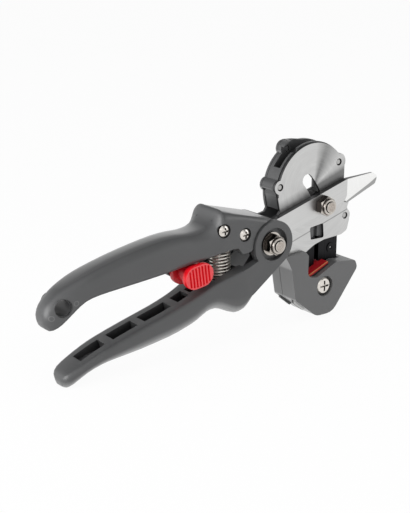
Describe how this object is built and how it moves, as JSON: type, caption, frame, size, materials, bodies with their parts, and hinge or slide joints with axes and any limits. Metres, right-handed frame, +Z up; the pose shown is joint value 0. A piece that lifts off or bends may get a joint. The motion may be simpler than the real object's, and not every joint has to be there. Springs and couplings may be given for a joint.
{
  "type": "grafting pruner",
  "caption": "Two-handled grafting pruner with a bypass knife bar, an omega blade that closes on a padded jaw, a return spring and a sliding lock.",
  "frame": {"origin": "middle of the bounding box's underside, with the tool nearly closed as in the picture", "axes": "+X from the grips to the head, +Y away from the side with the nuts, along the pivot bolt, +Z up"},
  "size_m": [0.2156, 0.035, 0.1032],
  "materials": {
    "grip_plastic": "fine matt moulded",
    "black_plastic": "matt black",
    "brushed_steel": "brushed",
    "nickel": "bright plated",
    "black_steel": "satin black",
    "lock_red": "satin red",
    "pad_red": "dark red, matt",
    "spring_wire": "plated wire"
  },
  "bodies": {
    "upper": {"upper_handle": "grip_plastic", "frame_plate_front": "brushed_steel", "frame_plate_rear": "brushed_steel", "frame_core": "grip_plastic", "tail_spacer": "black_plastic", "ear_rivet_left": "brushed_steel", "ear_rivet_right": "brushed_steel", "ear_rivet_top": "brushed_steel", "blade_guide_stud": "brushed_steel", "handle_screw_rear": "nickel", "handle_screw_front": "nickel", "jaw_shell_front": "grip_plastic", "jaw_shell_rear": "grip_plastic", "anvil_pad": "pad_red", "jaw_screw": "nickel", "return_spring": "spring_wire"},
    "cutter": {"lower_handle": "grip_plastic", "knife_bar": "brushed_steel", "pivot_bush": "brushed_steel", "pivot_washer": "nickel", "pivot_nut": "nickel", "pivot_bolt": "nickel", "guide_nut": "nickel", "guide_bolt": "nickel", "blade_arm": "black_plastic", "graft_blade": "black_steel", "blade_screw_left": "nickel", "blade_screw_right": "nickel", "bar_pin": "brushed_steel"},
    "lock": {"lock_slider": "lock_red"}
  },
  "joints": [
    {"name": "handle_hinge", "type": "hinge", "parent": "upper", "child": "cutter", "pos_m": [0.02581, 0.002, 0.05269], "axis": [0, -1, 0], "range_deg": [0, 24], "deforming": ["return_spring"]},
    {"name": "lock_slide", "type": "slide", "parent": "upper", "child": "lock", "axis": [-0.9914, 0, -0.1305], "range_m": [0, 0.0046]}
  ]
}
